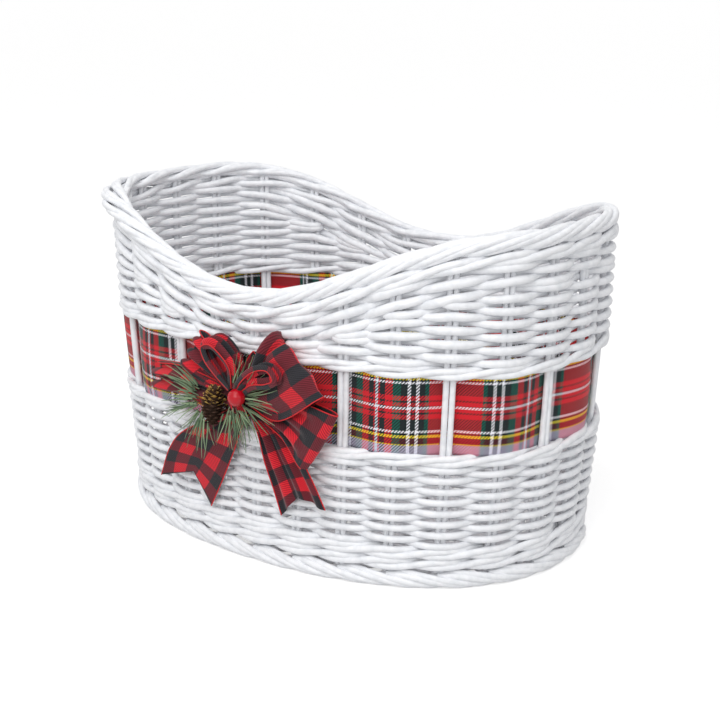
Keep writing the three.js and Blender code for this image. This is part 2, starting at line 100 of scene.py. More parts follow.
# Sets the inputs of a node. A node as a value stands for its first output.
def feed(tree, node, values):
    for socket, value in values.items():
        if isinstance(value, bpy.types.Node):
            value = value.outputs[0]
        if isinstance(value, bpy.types.NodeSocket):
            tree.links.new(value, node.inputs[socket])
        else:
            node.inputs[socket].default_value = value
    return node


def addNode(tree, kind, values=(), **settings):
    made = tree.nodes.new(kind)
    for name, value in settings.items():
        setattr(made, name, value)
    return feed(tree, made, dict(values))


def math2(tree, operation, a, b=0.0):
    return addNode(tree, "ShaderNodeMath", {0: a, 1: b}, operation=operation)


def times(tree, a, b):
    return math2(tree, "MULTIPLY", a, b)


def newFinish(name, roughness, **values):
    made = bpy.data.materials.new(name)
    made.use_nodes = True
    shader = made.node_tree.nodes["Principled BSDF"]
    renamed = {socket.replace("_", " "): value for socket, value in values.items()}
    feed(made.node_tree, shader, {"Roughness": roughness, **renamed})
    return made, made.node_tree, shader


# One where the camera or a reflection sees the floor or the world, which are white there and dimmer as light.
def rayIsStudio(tree):
    path = addNode(tree, "ShaderNodeLightPath")
    seen = math2(tree, "MAXIMUM", path.outputs["Is Camera Ray"], path.outputs["Is Glossy Ray"])
    return math2(tree, "MAXIMUM", seen, path.outputs["Is Transmission Ray"])


def makeStudio():
    world = bpy.data.worlds.new("studio")
    bpy.context.scene.world = world
    world.use_nodes = True
    tree = world.node_tree
    strength = addNode(tree, "ShaderNodeMapRange", {
        "Value": rayIsStudio(tree), "To Min": studio["worldStrength"], "To Max": 1.0})
    feed(tree, tree.nodes["Background"], {"Color": (1, 1, 1, 1), "Strength": strength})

    for name, (place, power, size) in studio["lamps"].items():
        lamp = newObject(name, bpy.data.lights.new(name, "AREA"))
        lamp.data.energy = power
        lamp.data.size = size
        lamp.location = place
        lamp.rotation_euler = (Vector(place) - Vector(studio["aim"])).to_track_quat("Z", "Y").to_euler()

    half = studio["paperHalf"]
    sheet = bpy.data.meshes.new("floor")
    corners = [(-half, -half, 0), (half, -half, 0), (half, half, 0), (-half, half, 0)]
    sheet.from_pydata(corners, [], [(0, 1, 2, 3)])
    paper, tree, shader = newFinish("paper", 0.9, Base_Color=(*[studio["paper"]] * 3, 1),
                                    Specular_IOR_Level=0.1, Emission_Color=(1, 1, 1, 1))
    feed(tree, shader, {"Emission Strength": times(tree, rayIsStudio(tree), studio["paperGlow"])})
    sheet.materials.append(paper)
    table = newObject("floor", sheet)


makeCamera()
makeStudio()
bpy.context.scene.view_settings.view_transform = "Standard"
print("camera and light made")


# The wall as a table of its middle line, by height and by place round the oval.
plan = {"lowest": -10.0, "step": 2.5, "rows": 112, "columns": 2800, "fineSteps": 16001}


# How far along a line each of its points is.
def distances(points):
    return np.append(0, np.cumsum(np.linalg.norm(np.diff(points, axis=0), axis=-1)))


def planAt(height):
    w = height / wall["planHeight"]
    mix = ((1 - w) * (1 - 2 * w), 4 * w * (1 - w), w * (2 * w - 1))
    halfLength, halfWidth, squareness = sum(
        share * np.array(wall[level]) for share, level in zip(mix, ("foot", "middle", "top")))
    t = np.linspace(0, 2 * pi, plan["fineSteps"])
    c, s = np.cos(t), np.sin(t)
    x = halfLength * np.sign(c) * np.abs(c) ** (2 / squareness)
    y = halfWidth * np.sign(s) * np.abs(s) ** (2 / squareness)
    length = distances(np.stack([x, y], -1))
    even = np.linspace(0, length[-1], plan["columns"] + 1)[:-1]
    return np.stack([np.interp(even, length, x), np.interp(even, length, y)], -1)


planTable = np.stack([planAt(plan["lowest"] + plan["step"] * i) for i in range(plan["rows"])])
alongTable = np.roll(planTable, -3, axis=1) - np.roll(planTable, 3, axis=1)
alongTable /= np.linalg.norm(alongTable, axis=-1, keepdims=True)
outTable = np.stack([alongTable[..., 1], -alongTable[..., 0]], -1)


# The share of the way round at a place counted in stakes, and back. Stakes stand closest along the front.
def roundShare(stake):
    turn = 2 * pi * (stake - wall["closestStake"]) / wall["stakes"]
    return (stake + wall["stakeLead"]) / wall["stakes"] - wall["closeness"] / (2 * pi) * np.sin(turn)


def stakeAtShare(share):
    stake = share * wall["stakes"]
    for _ in range(8):
        stake += (share - roundShare(stake)) * wall["stakes"]
    return stake


def fromTable(table, stake, height):
    column = (roundShare(stake) % 1) * plan["columns"]
    row = np.clip((height - plan["lowest"]) / plan["step"], 0, plan["rows"] - 1.001)
    i, j = row.astype(int), column.astype(int) % plan["columns"]
    a, b = (row - i)[..., None], (column - column.astype(int))[..., None]
    k = (j + 1) % plan["columns"]
    low = table[i, j] * (1 - b) + table[i, k] * b
    high = table[i + 1, j] * (1 - b) + table[i + 1, k] * b
    return low * (1 - a) + high * a


def outOfWall(stake, height):
    out = fromTable(outTable, stake, height)
    return out / np.linalg.norm(out, axis=-1, keepdims=True)


# Points of the wall by their place counted in stakes, their height and their distance outwards.
def onWall(stake, height, outward=0.0):
    stake, height, outward = np.broadcast_arrays(*(np.asarray(v, float) for v in (stake, height, outward)))
    place = fromTable(planTable, stake, height) + outward[..., None] * outOfWall(stake, height)
    return np.concatenate([place + (middleX, middleY), height[..., None]], -1)


def rimAt(stake):
    height = np.full(np.shape(stake), float(wall["rimDip"]))
    for _ in range(5):
        t = np.minimum(1, np.abs(onWall(stake, height)[..., 0] - middleX) / wall["top"][0])
        swing = (1 - np.cos(pi * t ** wall["rimSwing"])) / 2
        height = wall["rimDip"] + wall["rimRise"] * swing
    return height


# Heights stack up from the foot, each course on the one below.
weave = {
    "rodRadius": 2.15, "rowReach": 4.4, "rowPitch": 4.05, "lowerRows": 15, "upperRows": 4,
    "rimWaleDrop": 9.8, "fullPitch": 4.2, "pitchExtra": 0.03,
    "snap": 0.8,  # under 1 the rods go from front to back sooner
    "plump": 0.15, "upperPlump": 0.3,
    "turnRows": 0.5,  # the share of a row that a turn takes up, then a loose end
    "endRows": 0.6, "turnRise": 1.1, "turnGirth": 1.2, "turnsBefore": 0.7,
    "furthestTurn": 6, "fall": 1.3,
    "waleRadius": 2.3, "upsettExtra": 0.15, "rimExtra": 0.3, "waleReach": 4.6, "waleStroke": 2.15,
    "waleShift": 0.5, "seamStake": 7, "perStake": 10, "endTaper": 0.004, "endOver": 0.05,
    "sides": 12, "lumps": 0.07, "lumpSize": 45.0,
}
border = {"radius": 7, "footFlat": 0.8, "footSpread": 2.4}
band = {
    "width": 55, "bulge": 4.6, "behind": 3.5, "snap": 0.75, "tuck": 0.25,
    "under": 0.8, "over": 1.8, "perStake": 14, "columns": 23,
}
gap, cadWale, cadRod = 0.3, 4.0, 1.85  # clearance, half a wale's height and rod radius of the solids
footTop = 2 * border["radius"] - border["footFlat"]
waleRise = 2 * cadWale + gap
upsettHeights = [footTop + gap + cadWale + n * waleRise for n in range(2)]
lowerZ = footTop + 2 * waleRise + gap + cadRod
bandWaleZ = lowerZ + (weave["lowerRows"] - 1) * weave["rowPitch"] + cadRod + gap + cadWale
bandBottom = bandWaleZ + cadWale + gap
bandTop = bandBottom + band["width"]
topWaleZ = bandTop + gap + cadWale
packingZ = topWaleZ + cadWale + gap + cadRod - weave["waleShift"]


def colour(red, green, blue):
    shares = (c / 255 for c in (red, green, blue))
    return tuple(c / 12.92 if c < 0.0404 else ((c + 0.055) / 1.055) ** 2.4 for c in shares) + (1,)


def bumpFrom(tree, shader, height, strength, distance):
    bump = addNode(tree, "ShaderNodeBump", {"Height": height, "Strength": strength, "Distance": distance})
    feed(tree, shader, {"Normal": bump})


def noiseOn(tree, place, scale, detail=2.0):
    return addNode(tree, "ShaderNodeTexNoise", {"Vector": place, "Scale": scale, "Detail": detail})


# The colour between two colours, by a share.
def colourBetween(tree, shader, share, first, second):
    mix = addNode(tree, "ShaderNodeMix", {"Factor": share, 6: first, 7: second}, data_type="RGBA")
    feed(tree, shader, {"Base Color": mix.outputs[2]})


# A ramp from (place, colour).
def rampOf(tree, value, stops, interpolation="LINEAR"):
    ramp = addNode(tree, "ShaderNodeValToRGB", {"Fac": value})
    ramp.color_ramp.interpolation = interpolation
    for i, (place, tint) in enumerate(stops):
        element = ramp.color_ramp.elements[i] if i < 2 else ramp.color_ramp.elements.new(place)
        element.position = place
        element.color = tint
    return ramp


# White paint on willow: streaks along the rod, small bumps where buds were, and painted shade: the paint a
# little greyer where those bumps dip.
def paintedWillow():
    made, tree, shader = newFinish("paintedWillow", 0.5)
    place = addNode(tree, "ShaderNodeAttribute", attribute_name="rodPlace").outputs["Vector"]
    stretched = addNode(tree, "ShaderNodeMapping", {"Vector": place, "Scale": (0.12, 1, 1)})
    streaks, blobs = noiseOn(tree, stretched, 900.0, 4.0), noiseOn(tree, place, 160.0)
    # Painted shade: the tone goes greyer where the bump noise is low, in the hollows of the relief.
    tone = rampOf(tree, blobs, [(0.3, colour(233, 235, 239)), (0.6, colour(247, 248, 251))])
    feed(tree, shader, {"Base Color": tone})
    bumpFrom(tree, shader, math2(tree, "ADD", times(tree, streaks, 0.35), blobs), 0.35, 0.0006)
    return made


# Where a point lies on the cloth, and whether the warp lies over the weft there, as in a twill.
def threads(tree, pitch):
    cloth = addNode(tree, "ShaderNodeUVMap", uv_map="clothMap")
    parts = addNode(tree, "ShaderNodeSeparateXYZ", {0: cloth.outputs["UV"]})
    along, across = parts.outputs["X"], parts.outputs["Y"]
    warp = math2(tree, "FLOOR", math2(tree, "DIVIDE", along, pitch))
    weft = math2(tree, "FLOOR", math2(tree, "DIVIDE", across, pitch))
    above = math2(tree, "ADD", math2(tree, "SUBTRACT", warp, weft), 40000.0)  # never below zero
    return along, across, math2(tree, "LESS_THAN", math2(tree, "MODULO", above, 4.0), 1.5)


tartanTints = {
    "red": colour(214, 32, 44),
    "green": colour(16, 92, 78),
    "deepGreen": colour(16, 38, 37),
    "black": colour(26, 26, 32),
    "white": colour(240, 240, 246),
    "blueWhite": colour(206, 226, 236),
    "yellow": colour(246, 222, 30),
    "pale": colour(196, 190, 214),
    "maroon": colour(96, 22, 30),
}
tartan = {
    "repeat": 108.2,
    "phase": 20.8,
    "join": 9.25,
    "thread": 0.56,
    # From the middle of the wide red field outwards, to half a repeat.
    "warp": [(18.1, "red"), (20.9, "green"), (24.7, "black"), (27, "white"), (30.4, "black"),
             (32.7, "white"), (37.1, "black"), (42.5, "green"), (47.8, "red"), (51.7, "black"),
             (53, "red"), (54.1, "blueWhite")],
    # From the lower edge of the ribbon up.
    "weft": [(7, "pale"), (7.9, "yellow"), (12.1, "maroon"), (14.1, "yellow"), (15.6, "black"), (17.2, "white"),
             (25.1, "deepGreen"), (28.2, "red"), (29.5, "deepGreen"), (31.7, "red"), (33.4, "white"),
             (33.9, "deepGreen"), (36.4, "red"), (37.6, "deepGreen"), (40.9, "red"), (48.8, "deepGreen"),
             (50.4, "white"), (51.5, "black"), (53.7, "yellow"), (55, "black")],
}


# Stripes from (where the stripe ends, colour).
def stripes(tree, value, bands, whole):
    starts = [0] + [end / whole for end, _ in bands]
    stops = [(start, tartanTints[tint]) for start, (_, tint) in zip(starts, bands)]
    return rampOf(tree, value, stops, "CONSTANT")


def tartanCloth():
    made, tree, shader = newFinish("tartanCloth", 0.82, Sheen_Weight=0.15, Specular_IOR_Level=0.25)
    along, across, warpOver = threads(tree, tartan["thread"] * mm)
    turns = math2(tree, "DIVIDE", math2(tree, "SUBTRACT", along, tartan["phase"] * mm), tartan["repeat"] * mm)
    fold = times(tree, math2(tree, "PINGPONG", turns, 0.5), 2.0)
    warp = stripes(tree, fold, tartan["warp"], tartan["repeat"] / 2)
    weft = stripes(tree, math2(tree, "DIVIDE", across, band["width"] * mm), tartan["weft"], band["width"])
    colourBetween(tree, shader, warpOver, weft, warp)
    bumpFrom(tree, shader, warpOver, 0.5, 0.0002)
    return made


check = {
    "square": 12.2, "thread": 0.5, "red": colour(208, 34, 48), "middle": colour(104, 32, 42),
    "black": colour(38, 37, 42), "warpPaintedLight": 1.35, "weftPaintedShade": 0.7,
}


def checkCloth():
    made, tree, shader = newFinish("checkCloth", 0.85, Sheen_Weight=0.2, Specular_IOR_Level=0.25)
    along, across, warpOver = threads(tree, check["thread"] * mm)
    dark = []
    for coordinate, shift in ((along, 40.0), (across, 40.25)):
        turns = math2(tree, "ADD", math2(tree, "DIVIDE", coordinate, 2 * check["square"] * mm), shift)
        dark.append(math2(tree, "LESS_THAN", math2(tree, "FRACT", turns), 0.5))
    both = times(tree, math2(tree, "ADD", dark[0], dark[1]), 0.5)
    tint = rampOf(tree, both, [(0, check["red"]), (0.25, check["middle"]), (0.75, check["black"])], "CONSTANT")
    # Painted light and shade on the twill: one tint, painted lighter where the warp lies over and darker where
    # the weft does.
    shades = (addNode(tree, "ShaderNodeHueSaturation", {"Value": check[way], "Color": tint})
              for way in ("weftPaintedShade", "warpPaintedLight"))
    colourBetween(tree, shader, warpOver, *shades)
    bumpFrom(tree, shader, warpOver, 0.5, 0.0002)
    return made


def plainFinish(name, tint, roughness, grain=400.0, depth=0.0002, spread=0.25, **values):
    made, tree, shader = newFinish(name, roughness, **values)
    noise = noiseOn(tree, addNode(tree, "ShaderNodeTexCoord").outputs["Object"], grain, 3.0)
    shades = ((*(min(1, c * way) for c in tint[:3]), 1) for way in (1 - spread, 1 + spread))
    colourBetween(tree, shader, noise, *shades)
    bumpFrom(tree, shader, noise, 0.4, depth)
    return made


def needleFinish():
    made, tree, shader = newFinish("pineNeedle", 0.55, Specular_IOR_Level=0.4)
    shade = addNode(tree, "ShaderNodeAttribute", attribute_name="shade").outputs["Fac"]
    tint = rampOf(tree, shade, [(0, colour(70, 96, 72)), (1, colour(160, 182, 142))])
    feed(tree, shader, {"Base Color": tint})
    noise = noiseOn(tree, addNode(tree, "ShaderNodeTexCoord").outputs["Object"], 900.0)
    bumpFrom(tree, shader, noise, 0.3, 0.0002)
    return made


finishes = {
    "willow": paintedWillow(),
    "tartan": tartanCloth(),
    "check": checkCloth(),
    "hem": plainFinish("redHem", colour(214, 28, 34), 0.6, 1500.0),
    "needle": needleFinish(),
    "wire": plainFinish("greenWire", colour(84, 104, 78), 0.45, 1200.0),
    "berry": plainFinish("berry", colour(186, 8, 30), 0.2, 300.0, 0.00005, 0.12, Specular_IOR_Level=0.35),
    "cone": plainFinish("coneScale", colour(78, 54, 40), 0.8, 700.0, 0.0004, 0.5),
    "gilt": plainFinish("giltTip", colour(206, 170, 92), 0.4, 900.0, 0.0003, 0.4),
}
print("finishes made")


def newTree(name, inputs):
    tree = bpy.data.node_groups.new(name, "GeometryNodeTree")
    for label, kind in {"Geometry": "Geometry", **inputs}.items():
        tree.interface.new_socket(label, in_out="INPUT", socket_type="NodeSocket" + kind)
    tree.interface.new_socket("Geometry", in_out="OUTPUT", socket_type="NodeSocketGeometry")
    return tree, addNode(tree, "NodeGroupInput")


# Smooth faces, their finish, and the end of a tree.
def endTree(tree, given, shape):
    smooth = addNode(tree, "GeometryNodeSetShadeSmooth", {"Geometry": shape})
    coat = addNode(tree, "GeometryNodeSetMaterial", {"Geometry": smooth, "Material": given.outputs["Finish"]})
    addNode(tree, "NodeGroupOutput", {"Geometry": coat})
    return tree


def named(tree, name, kind="FLOAT"):
    return addNode(tree, "GeometryNodeInputNamedAttribute", {"Name": name}, data_type=kind).outputs["Attribute"]


# A rod along a path: sweeps a round section of uneven thickness, and keeps the place on the rod for its paint.
def rodTree():
    tree, given = newTree("willowRod", {
        "Sides": "Int", "Lumps": "Float", "Lump Size": "Float", "Finish": "Material"})
    curve = addNode(tree, "GeometryNodeMeshToCurve", {"Mesh": given.outputs["Geometry"]})
    run = addNode(tree, "GeometryNodeCaptureAttribute", {"Geometry": curve})
    run.capture_items.new("FLOAT", "Run")
    feed(tree, run, {"Run": addNode(tree, "GeometryNodeSplineParameter").outputs["Length"]})
    ring = addNode(tree, "GeometryNodeCurvePrimitiveCircle", {
        "Resolution": given.outputs["Sides"], "Radius": 1.0})
    girth = addNode(tree, "GeometryNodeCaptureAttribute", {"Geometry": ring})
    girth.capture_items.new("VECTOR", "Girth")
    feed(tree, girth, {"Girth": addNode(tree, "GeometryNodeInputPosition")})
    radius = named(tree, "rodRadius")
    noise = addNode(tree, "ShaderNodeTexNoise", {"Scale": given.outputs["Lump Size"], "Detail": 2.0})
    depth = times(tree, given.outputs["Lumps"], 4.0)
    swell = math2(tree, "ADD", times(tree, math2(tree, "SUBTRACT", noise, 0.5), depth), 1.0)
    sweep = addNode(tree, "GeometryNodeCurveToMesh", {
        "Curve": run, "Profile Curve": girth, "Scale": times(tree, radius, swell), "Fill Caps": True})
    x, y, _ = addNode(tree, "ShaderNodeSeparateXYZ", {0: girth.outputs["Girth"]}).outputs
    place = addNode(tree, "ShaderNodeCombineXYZ", {
        0: run.outputs["Run"], 1: times(tree, x, radius), 2: times(tree, y, radius)})
    lot = named(tree, "lot", "FLOAT_VECTOR")
    moved = addNode(tree, "ShaderNodeVectorMath", {0: place, 1: lot}, operation="ADD")
    store = addNode(tree, "GeometryNodeStoreNamedAttribute", {"Geometry": sweep, "Name": "rodPlace"},
                    data_type="FLOAT_VECTOR", domain="POINT")
    feed(tree, store, {"Value": moved})
    return endTree(tree, given, store)


rodNodes = rodTree()


def newPiece(name, mesh, *coats):
    for coat in coats:
        mesh.materials.append(finishes[coat])
    return newObject(name, mesh)


# A mesh from points in millimetres.
def newMesh(name, points, edges=(), faces=()):
    mesh = bpy.data.meshes.new(name)
    mesh.from_pydata([tuple(p) for p in np.asarray(points) * mm], edges, faces)
    return mesh


def storeOn(mesh, name, kind, values):
    layer = mesh.attributes.new(name, kind, "POINT").data
    layer.foreach_set("value" if kind == "FLOAT" else "vector", np.asarray(values, np.float32).ravel())


# Runs a tree of geometry nodes on a mesh and keeps the plain mesh that comes out.
def settle(name, mesh, tree, values):
    source = newPiece(name, mesh)
    modifier = source.modifiers.new("nodes", "NODES")
    modifier.node_group = tree
    for item in tree.interface.items_tree:
        if item.item_type == "SOCKET" and item.in_out == "INPUT" and item.name in values:
            modifier[item.identifier] = values[item.name]
    made = bpy.data.meshes.new_from_object(source.evaluated_get(bpy.context.evaluated_depsgraph_get()))
    bpy.data.objects.remove(source)
    return newPiece(name, made)


def finishPiece(piece, nodes=()):
    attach(piece, "root")
    if nodes:
        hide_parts(*nodes)
    return piece


# The solid that a piece stands for: sprigLeft shows sprig_left.
def nodeOf(name):
    return "".join("_" + c.lower() if c.isupper() or c.isdigit() else c for c in name)


# rods: a list of (points in millimetres, radius or radii, closed)
def rodPiece(name, rods, nodes=(), finish="willow",
             sides=weave["sides"], lumps=weave["lumps"]):
    points, edges, radii, lots = [], [], [], []
    for path, radius, closed in rods:
        start, count = len(points), len(path)
        points.extend(path)
        radii.extend(np.broadcast_to(np.asarray(radius, float) * mm, (count,)))
        lots.extend([luck.uniform(0, 3, 3)] * count)
        edges.extend((start + i, start + i + 1) for i in range(count - 1))
        if closed:
            edges.append((start + count - 1, start))
    source = newMesh(name, points, edges)
    storeOn(source, "rodRadius", "FLOAT", radii)
    storeOn(source, "lot", "FLOAT_VECTOR", lots)
    piece = settle(name, source, rodNodes, {
        "Sides": sides, "Lumps": lumps, "Lump Size": weave["lumpSize"], "Finish": finishes[finish]})
    return finishPiece(piece, nodes)


# Greenish wire, for the stems and ties.
def wirePiece(name, rods, nodes=(), lumps=0.0):
    rodPiece(name, rods, nodes, "wire", sides=8, lumps=lumps)


# Thins the last share of a rod down to its end, and the first share too where one is given.
def taper(count, last, thin=0.35, first=0.0):
    share = np.linspace(0, 1, count)
    ends = np.clip((1 - share) / last, 0, 1) * (1 - thin) + thin
    return ends * (np.clip(share / first, 0, 1) * (1 - thin) + thin) if first else ends


# A slow wave of its own in each rod, so that none runs quite true.
def wander(along, reach, pace):
    return reach * np.sin(along * pace + luck.uniform(0, 6))


# The place counted in stakes that is so many millimetres beside a stake.
def beside(stake, reach):
    return stakeAtShare(roundShare(stake) + reach / wall["round"])


# Stakes: a rod and its partner side by side, each a little bent of its own.
stakes = {"intoFoot": 3, "intoRim": 0.55, "apart": 0.03, "steps": 44}


def stakePair(k):
    top = rimAt(k) - border["radius"] * stakes["intoRim"]
    height = np.linspace(footTop - stakes["intoFoot"], top, stakes["steps"])
    rods = []
    for side in (-1, 1):
        sway = wander(height, 0.25, 1 / 31) * luck.uniform(0.4, 1)
        place = beside(k, side * (wall["stakeRadius"] + stakes["apart"]) + sway)
        path = onWall(place, height, wander(height, 0.15, 1 / 23))
        rods.append((path, wall["stakeRadius"] * luck.uniform(0.93, 1.03), False))
    return rods


for k in range(wall["stakes"]):
    node = f"stake_pair_{k + 1:02d}"
    rodPiece(node.replace("stake_pair_", "stakes_"), stakePair(k), [node])
print("stakes made")


def bend(share):
    return 0.5 - 0.5 * np.cos(pi * np.clip(share, 0, 1))


# Plain rows: in front of one pair and behind the next, up two rows at each seam.
def chasingRod(heightAt, firstRow, rows, girthAt, plumpness):
    rounds = len(range(firstRow, rows, 2))
    pairs, over = rounds * wall["stakes"], weave["endOver"]
    s = np.linspace(-0.5 - over, pairs - 0.5 + over, pairs * weave["perStake"])
    stake = weave["seamStake"] + s
    inRound = (s + 1) % wall["stakes"]
    row = firstRow + 2 * (np.floor((s + 1) / wall["stakes"]) - 1 + bend(inRound))
    row = np.where(s < 0, firstRow, row)
    row = np.minimum(row, firstRow + 2 * (rounds - 1))
    swing = cos(pi * (firstRow + 1)) * np.cos(pi * stake)
    outward = np.sign(swing) * np.abs(swing) ** weave["snap"] * weave["rowReach"]
    outward *= 1 + wander(s, 0.05, 0.9)
    drift = wander(s, 0.2, 0.61) + wander(s, 0.14, 1.73)
    plump = girthAt(stake) * (1 + plumpness * np.abs(np.cos(pi * s)))
    return onWall(stake, heightAt(stake, row) + drift, outward), weave["rodRadius"] * plump


# A wale: three times round, in front of two pairs and behind one, so that three rods lie over each other.
def wale(name, height, extra=0.0):
    count = wall["stakes"] * 3 * weave["perStake"]
    s = np.arange(count) / weave["perStake"]
    t = s % 3
    outward = np.select([t < 1, t < 2, t < 3], [-np.cos(pi * t), 1.0, np.cos(pi * (t - 2))])
    r = (s + 0.5) % 3  # 0 to 1.5 at the back and low, then rising across the front
    rise = np.select([r < 1, r < 1.5, r < 2.5, r < 3],
                     [np.cos(pi * r), -1.0, -np.cos(pi * (r - 1.5)), 1.0])
    turns = 2 * pi * np.arange(count) / count
    drift = 0.2 * np.sin(13 * turns) + 0.15 * np.sin(31 * turns)
    middle = height(s) if callable(height) else height
    path = onWall(s, middle + rise * weave["waleStroke"] + drift, outward * weave["waleReach"])
    rodPiece(name, [(path, weave["waleRadius"] + extra, True)], [nodeOf(name)])


for n, height in enumerate(upsettHeights):
    wale(f"upsettWale{n + 1}", height, weave["upsettExtra"])
wale("bandWaleBelow", bandWaleZ + weave["waleShift"])
wale("bandWaleAbove", topWaleZ - weave["waleShift"])
print("wales made")


def openRod(name, path, radius):
    ends = taper(len(path), weave["endTaper"], first=weave["endTaper"])
    rodPiece(name, [(path, radius * ends, False)], [nodeOf(name)])


def weavers(name, heightAt, rows, girthAt=np.ones_like, plumpness=weave["plump"]):
    for firstRow, letter in enumerate("AB"):
        openRod(name + letter, *chasingRod(heightAt, firstRow, rows, girthAt, plumpness))


def lowerRow(stake, row):
    return lowerZ + row * (weave["rowPitch"] + weave["pitchExtra"])


weavers("lowerWeaver", lowerRow, weave["lowerRows"])


# Packing: a rod goes back and forth round an end, each way shorter than the one under it as the rim falls
# away. At each pair its rows and the leaning rows over them share out the room.
def topRow(stake):
    return rimAt(stake) - weave["rimWaleDrop"] - cadWale - weave["rodRadius"]


def roomFor(k):
    return float(topRow(float(k)) - packingZ) / weave["fullPitch"] + 1 - weave["upperRows"]


# The pairs where the rod turns on one side of the end, from the lowest turn up.
def turnsBeside(inner, heading, most):
    turns = []
    for k in range(inner + weave["furthestTurn"] * heading, inner, -heading):
        beyond = len(turns)
        here = min(max(round(roomFor(k - weave["turnsBefore"] * heading) / 2), beyond), most) - beyond
        turns += [(beyond + 2 * i - (here - 1) / 2, k) for i in range(here)]
    turns += [(most, inner + heading)] * (most - len(turns))
    return [k for _, k in sorted(turns, key=lambda turn: turn[0])]


# The rod's ways as lists of (pair, row at that pair), and the rows that each pair ends up with. At a turn
# the rod lies in front and behind at about one height and takes less room, as its loose ends do.
def packingWay(inner):
    most = round(roomFor(inner) / 2)
    left, right = (turnsBeside(inner, heading, most) for heading in (-1, 1))
    stops = [k for both in zip(left, right) for k in both] + [inner - 2]
    rows, ways, turn = {}, [], weave["turnRows"]
    for n, (start, stop) in enumerate(zip(stops, stops[1:])):
        heading = 1 if stop > start else -1
        pairs = list(range(start, stop + heading, heading))
        way = []
        for k in pairs:
            below = rows.get(k, 0)
            if k == start and ways:
                way.append((k, below - 0.5 - turn / 2))
            elif k == stop and n < len(stops) - 2:
                way.append((k, below - 0.5 + turn / 2))
                rows[k] = below + turn
            else:
                way.append((k, below))
                rows[k] = below + (1 if k not in (start, stop) else weave["endRows"])
        ways.append(way)
    return ways, rows


packingWays, packingRows = {}, np.zeros(wall["stakes"])
for side, end in (("Right", 0.0), ("Left", 0.5)):
    packingWays[side], rows = packingWay(round(stakeAtShare(end)))
    for k, count in rows.items():
        packingRows[k % wall["stakes"]] = count
rowSpace = (topRow(np.arange(wall["stakes"])) - packingZ) / (packingRows + weave["upperRows"] - 1)


# Between two pairs a row comes down soonest beside the higher one, where a turn below it ends.
def step(left, right, share):
    eased = np.where(left > right, 1 - (1 - share) ** weave["fall"], share ** weave["fall"])
    return left + (right - left) * eased


def packingRod(ways):
    path, side, turns = [], 1, np.linspace(0.1, 0.9, 9)
    for n, way in enumerate(ways):
        heading = 1 if way[-1][0] > way[0][0] else -1
        space = np.array([rowSpace[k % wall["stakes"]] for k, _ in way])
        heights = packingZ + np.array([row for _, row in way]) * space
        heights[0] += weave["turnRise"] if n else 0
        heights[-1] -= weave["turnRise"] if n < len(ways) - 1 else 0
        span = np.arange(0, len(way) - 1 + 1e-6, 1 / weave["perStake"])
        low = span.astype(int).clip(0, len(way) - 2)
        rise = step(heights[low], heights[low + 1], span - low)
        thick = (space[low] + np.diff(space)[low] * (span - low)) / weave["fullPitch"]
        swing = side * np.cos(pi * span)
        for s, z, w, girth in list(zip(way[0][0] + heading * span, rise, swing, thick))[1 if path else 0:]:
            path.append((s, z, copysign(abs(w) ** weave["snap"], w) * weave["rowReach"],
                         girth * (1 + weave["upperPlump"] * abs(w))))
        side = side if len(way) % 2 else -side
        for turn in turns:
            angle = pi * turn
            out = heading * (2 * wall["stakeRadius"] + cadRod) * sin(angle)
            place = float(beside(float(way[-1][0]), out))
            path.append((place, heights[-1] + 2 * weave["turnRise"] * turn,
                         side * weave["rowReach"] * cos(angle), weave["turnGirth"] * thick[-1]))
        side = -side
    placed, heights, outwards, plumps = np.array(path[:-len(turns)]).T
    return onWall(placed, heights, outwards), plumps * weave["rodRadius"]


for side, ways in packingWays.items():
    openRod("packing" + side, *packingRod(ways))


# The leaning rows go all the way round, the lowest on the packing and the highest under the wale.
def leaningRoom(stake):
    low = np.floor(stake).astype(int)
    left, right = ((packingZ + packingRows * rowSpace)[k % wall["stakes"]] for k in (low, low + 1))
    return step(left, right, stake - low), topRow(stake)


def upperRow(stake, row):
    low, top = leaningRoom(stake)
    return low + (top - low) * np.clip(row / (weave["upperRows"] - 1), 0, 1)


def upperGirth(stake):
    low, top = leaningRoom(stake)
    return np.clip((top - low) / (weave["upperRows"] - 1) / weave["fullPitch"], 0.85, 1.35)


wale("rimWale", lambda s: rimAt(s) - weave["rimWaleDrop"], weave["rimExtra"])
weavers("upperWeaver", upperRow, weave["upperRows"], upperGirth, weave["upperPlump"])
print("rows and packing made")


# Borders: from each pair two rod ends run along the roll, come up over it and are tucked in.
strands = {
    "radius": 2.45, "run": 3.3, "steps": 56, "twin": 40, "twinRun": 0.3,
    "depth": 0.45,  # how far out the ends lie, as a share
    "comesIn": 0.12, "goesOut": 0.1, "looseSpan": 1.6,
    "rim": (-100, 205), "foot": (100, -205), "dwell": 0.1, "loosest": 14.6, "looseness": 6.5,
    "heartExtra": 1.4, "heartRise": -1.5,
}


# Angles go round the roll from the outside: 90 is on top, 180 inside.
def strandPair(k, pointAt, hand, first, last):
    rods = []
    for twin in (-0.5, 0.5):
        s = np.linspace(0, strands["run"] + strands["twinRun"] * twin, strands["steps"])
        share = s / s[-1]
        turned = share + strands["dwell"] * np.sin(2 * pi * share) / (2 * pi)
        angle = np.radians(first + (last - first) * turned + twin * strands["twin"] * hand)
        out = border["radius"] - strands["radius"]
        inside = bend(share / strands["comesIn"]) * bend((1 - share) / strands["goesOut"])
        reach = out * (strands["depth"] + (1 - strands["depth"]) * inside) + wander(s, 0.2, 2.1)
        path = pointAt(k + s, reach * np.cos(angle), reach * np.sin(angle))
        girth = strands["radius"] * luck.uniform(0.93, 1.04)
        rods.append((path, girth * taper(len(s), 0.1, 0.5), False))
    return rods


